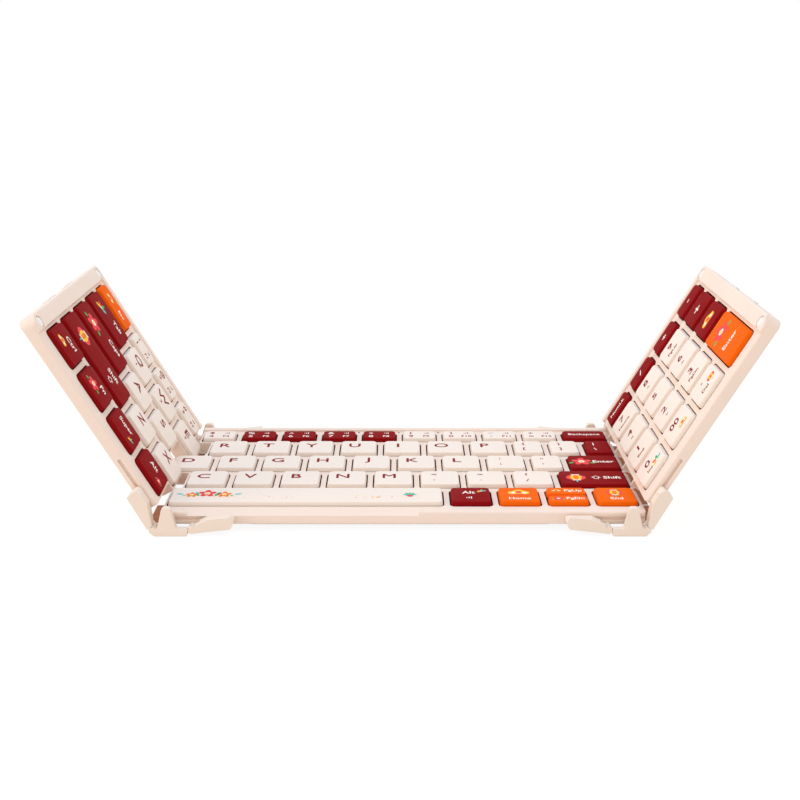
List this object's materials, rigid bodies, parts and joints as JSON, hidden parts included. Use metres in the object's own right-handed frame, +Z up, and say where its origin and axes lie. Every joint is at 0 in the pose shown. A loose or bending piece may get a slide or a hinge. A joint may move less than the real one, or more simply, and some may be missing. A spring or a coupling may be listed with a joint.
{
  "type": "folding keyboard",
  "caption": "Folding keyboard with a flat centre panel, two wings raised on sliding link hinges, shallow sprung keys in staggered rows and a number pad in the right wing.",
  "frame": {"origin": "middle of the keyboard on the surface that its hinge links stand on", "axes": "+X to the typist's right along the key rows, +Y away from the typist, +Z up from the surface"},
  "size_m": [0.267, 0.1048, 0.081],
  "materials": {
    "case_plastic": "fine satin moulding texture",
    "hinge_plastic": "satin moulded plastic",
    "cream_key": "satin key surface",
    "red_key": "satin key surface",
    "orange_key": "satin key surface",
    "plate_metal": "mill finish sheet",
    "pin_steel": "turned",
    "dome_rubber": "thin sheet with domes",
    "scissor_plastic": "small mouldings",
    "circuit_board": "solder mask",
    "battery_pouch": "foil pouch",
    "foot_rubber": "soft rubber strip",
    "port_metal": "drawn shell",
    "light_lens": "dark lens",
    "pad_silicone": "translucent soft pad"
  },
  "bodies": {
    "centre": {"centre_bottom_cover": "case_plastic", "centre_deck": "case_plastic", "centre_key_plate": "plate_metal", "centre_switch_sheet": "dome_rubber", "centre_scissors": "scissor_plastic", "main_board": "circuit_board", "battery": "battery_pouch", "foot_strips": "foot_rubber", "charging_port": "port_metal", "indicator_lights": "light_lens"},
    "left_slider": {"left_sliders": "hinge_plastic"},
    "left_link": {"left_links": "hinge_plastic", "left_hinge_pins": "pin_steel"},
    "left_arm": {"left_arms": "hinge_plastic"},
    "left_wing": {"left_deck": "case_plastic", "left_bottom_cover": "case_plastic", "left_key_plate": "plate_metal", "left_switch_sheet": "dome_rubber", "left_scissors": "scissor_plastic", "left_pads": "pad_silicone", "left_bumpers": "pad_silicone"},
    "right_slider": {"right_sliders": "hinge_plastic"},
    "right_link": {"right_links": "hinge_plastic", "right_hinge_pins": "pin_steel"},
    "right_arm": {"right_arms": "hinge_plastic"},
    "right_wing": {"right_deck": "case_plastic", "right_bottom_cover": "case_plastic", "right_key_plate": "plate_metal", "right_switch_sheet": "dome_rubber", "right_scissors": "scissor_plastic", "right_pads": "pad_silicone", "right_bumpers": "pad_silicone"},
    "esc_key": {"esc_key": "orange_key"},
    "left_number_keys": {"left_number_keys": "cream_key"},
    "tab_key": {"tab_key": "red_key"},
    "left_upper_keys": {"left_upper_keys": "cream_key"},
    "caps_key": {"caps_key": "red_key"},
    "left_home_keys": {"left_home_keys": "cream_key"},
    "left_shift_key": {"left_shift_key": "red_key"},
    "left_lower_keys": {"left_lower_keys": "cream_key"},
    "modifier_keys": {"modifier_keys": "red_key"},
    "number_keys": {"number_keys": "cream_key"},
    "accent_number_keys": {"accent_number_keys": "red_key"},
    "upper_keys": {"upper_keys": "cream_key"},
    "backslash_key": {"backslash_key": "red_key"},
    "home_keys": {"home_keys": "cream_key"},
    "enter_key": {"enter_key": "red_key"},
    "lower_keys": {"lower_keys": "cream_key"},
    "right_shift_key": {"right_shift_key": "red_key"},
    "space_bar": {"space_bar": "cream_key"},
    "alt_key": {"alt_key": "red_key"},
    "page_keys": {"page_keys": "orange_key"},
    "pad_operator_keys": {"pad_operator_keys": "red_key"},
    "pad_upper_keys": {"pad_upper_keys": "cream_key"},
    "pad_middle_keys": {"pad_middle_keys": "cream_key"},
    "pad_lower_keys": {"pad_lower_keys": "cream_key"},
    "pad_accent_keys": {"pad_accent_keys": "red_key"},
    "pad_enter_key": {"pad_enter_key": "orange_key"},
    "pad_zero_keys": {"pad_zero_keys": "cream_key"}
  },
  "joints": [
    {"name": "left_slider_out", "type": "slide", "parent": "centre", "child": "left_slider", "axis": [-1, 0, 0], "range_m": [0, 0.0166]},
    {"name": "left_link_turn", "type": "hinge", "parent": "left_slider", "child": "left_link", "pos_m": [-0.0758, 0, 0.0022], "axis": [0, 1, 0], "range_deg": [0, 90]},
    {"name": "left_wing_turn", "type": "hinge", "parent": "left_link", "child": "left_arm", "pos_m": [-0.09, 0, 0.0022], "axis": [0, 1, 0], "range_deg": [-60, 30]},
    {"name": "left_wing_out", "type": "slide", "parent": "left_arm", "child": "left_wing", "axis": [-0.5, 0, 0.866], "range_m": [-0.00855, 0.00427]},
    {"name": "right_slider_out", "type": "slide", "parent": "centre", "child": "right_slider", "axis": [1, 0, 0], "range_m": [0, 0.01604]},
    {"name": "right_link_turn", "type": "hinge", "parent": "right_slider", "child": "right_link", "pos_m": [0.0758, 0, 0.0022], "axis": [0, -1, 0], "range_deg": [0, 90]},
    {"name": "right_wing_turn", "type": "hinge", "parent": "right_link", "child": "right_arm", "pos_m": [0.09, 0, 0.0022], "axis": [0, -1, 0], "range_deg": [-60, 30]},
    {"name": "right_wing_out", "type": "slide", "parent": "right_arm", "child": "right_wing", "axis": [0.5, 0, 0.866], "range_m": [-0.0074, 0.0037]},
    {"name": "esc_key_press", "type": "slide", "parent": "left_wing", "child": "esc_key", "axis": [-0.866, 0, -0.5], "range_m": [0, 0.001], "stiffness_N_per_m": 150},
    {"name": "left_number_keys_press", "type": "slide", "parent": "left_wing", "child": "left_number_keys", "axis": [-0.866, 0, -0.5], "range_m": [0, 0.001], "stiffness_N_per_m": 150},
    {"name": "tab_key_press", "type": "slide", "parent": "left_wing", "child": "tab_key", "axis": [-0.866, 0, -0.5], "range_m": [0, 0.001], "stiffness_N_per_m": 150},
    {"name": "left_upper_keys_press", "type": "slide", "parent": "left_wing", "child": "left_upper_keys", "axis": [-0.866, 0, -0.5], "range_m": [0, 0.001], "stiffness_N_per_m": 150},
    {"name": "caps_key_press", "type": "slide", "parent": "left_wing", "child": "caps_key", "axis": [-0.866, 0, -0.5], "range_m": [0, 0.001], "stiffness_N_per_m": 150},
    {"name": "left_home_keys_press", "type": "slide", "parent": "left_wing", "child": "left_home_keys", "axis": [-0.866, 0, -0.5], "range_m": [0, 0.001], "stiffness_N_per_m": 150},
    {"name": "left_shift_key_press", "type": "slide", "parent": "left_wing", "child": "left_shift_key", "axis": [-0.866, 0, -0.5], "range_m": [0, 0.001], "stiffness_N_per_m": 150},
    {"name": "left_lower_keys_press", "type": "slide", "parent": "left_wing", "child": "left_lower_keys", "axis": [-0.866, 0, -0.5], "range_m": [0, 0.001], "stiffness_N_per_m": 150},
    {"name": "modifier_keys_press", "type": "slide", "parent": "left_wing", "child": "modifier_keys", "axis": [-0.866, 0, -0.5], "range_m": [0, 0.001], "stiffness_N_per_m": 150},
    {"name": "number_keys_press", "type": "slide", "parent": "centre", "child": "number_keys", "axis": [0, 0, -1], "range_m": [0, 0.001], "stiffness_N_per_m": 150},
    {"name": "accent_number_keys_press", "type": "slide", "parent": "centre", "child": "accent_number_keys", "axis": [0, 0, -1], "range_m": [0, 0.001], "stiffness_N_per_m": 150},
    {"name": "upper_keys_press", "type": "slide", "parent": "centre", "child": "upper_keys", "axis": [0, 0, -1], "range_m": [0, 0.001], "stiffness_N_per_m": 150},
    {"name": "backslash_key_press", "type": "slide", "parent": "centre", "child": "backslash_key", "axis": [0, 0, -1], "range_m": [0, 0.001], "stiffness_N_per_m": 150},
    {"name": "home_keys_press", "type": "slide", "parent": "centre", "child": "home_keys", "axis": [0, 0, -1], "range_m": [0, 0.001], "stiffness_N_per_m": 150},
    {"name": "enter_key_press", "type": "slide", "parent": "centre", "child": "enter_key", "axis": [0, 0, -1], "range_m": [0, 0.001], "stiffness_N_per_m": 150},
    {"name": "lower_keys_press", "type": "slide", "parent": "centre", "child": "lower_keys", "axis": [0, 0, -1], "range_m": [0, 0.001], "stiffness_N_per_m": 150},
    {"name": "right_shift_key_press", "type": "slide", "parent": "centre", "child": "right_shift_key", "axis": [0, 0, -1], "range_m": [0, 0.001], "stiffness_N_per_m": 150},
    {"name": "space_bar_press", "type": "slide", "parent": "centre", "child": "space_bar", "axis": [0, 0, -1], "range_m": [0, 0.001], "stiffness_N_per_m": 150},
    {"name": "alt_key_press", "type": "slide", "parent": "centre", "child": "alt_key", "axis": [0, 0, -1], "range_m": [0, 0.001], "stiffness_N_per_m": 150},
    {"name": "page_keys_press", "type": "slide", "parent": "centre", "child": "page_keys", "axis": [0, 0, -1], "range_m": [0, 0.001], "stiffness_N_per_m": 150},
    {"name": "pad_operator_keys_press", "type": "slide", "parent": "right_wing", "child": "pad_operator_keys", "axis": [0.866, 0, -0.5], "range_m": [0, 0.001], "stiffness_N_per_m": 150},
    {"name": "pad_upper_keys_press", "type": "slide", "parent": "right_wing", "child": "pad_upper_keys", "axis": [0.866, 0, -0.5], "range_m": [0, 0.001], "stiffness_N_per_m": 150},
    {"name": "pad_middle_keys_press", "type": "slide", "parent": "right_wing", "child": "pad_middle_keys", "axis": [0.866, 0, -0.5], "range_m": [0, 0.001], "stiffness_N_per_m": 150},
    {"name": "pad_lower_keys_press", "type": "slide", "parent": "right_wing", "child": "pad_lower_keys", "axis": [0.866, 0, -0.5], "range_m": [0, 0.001], "stiffness_N_per_m": 150},
    {"name": "pad_accent_keys_press", "type": "slide", "parent": "right_wing", "child": "pad_accent_keys", "axis": [0.866, 0, -0.5], "range_m": [0, 0.001], "stiffness_N_per_m": 150},
    {"name": "pad_enter_key_press", "type": "slide", "parent": "right_wing", "child": "pad_enter_key", "axis": [0.866, 0, -0.5], "range_m": [0, 0.001], "stiffness_N_per_m": 150},
    {"name": "pad_zero_keys_press", "type": "slide", "parent": "right_wing", "child": "pad_zero_keys", "axis": [0.866, 0, -0.5], "range_m": [0, 0.001], "stiffness_N_per_m": 150}
  ],
  "couplings": [
    {"joint": "left_link_turn", "follows": "left_slider_out", "rad_per_m": 94.6},
    {"joint": "left_wing_turn", "follows": "left_wing_out", "rad_per_m": 122.4},
    {"joint": "right_link_turn", "follows": "right_slider_out", "rad_per_m": 97.9},
    {"joint": "right_wing_turn", "follows": "right_wing_out", "rad_per_m": 141.5}
  ]
}
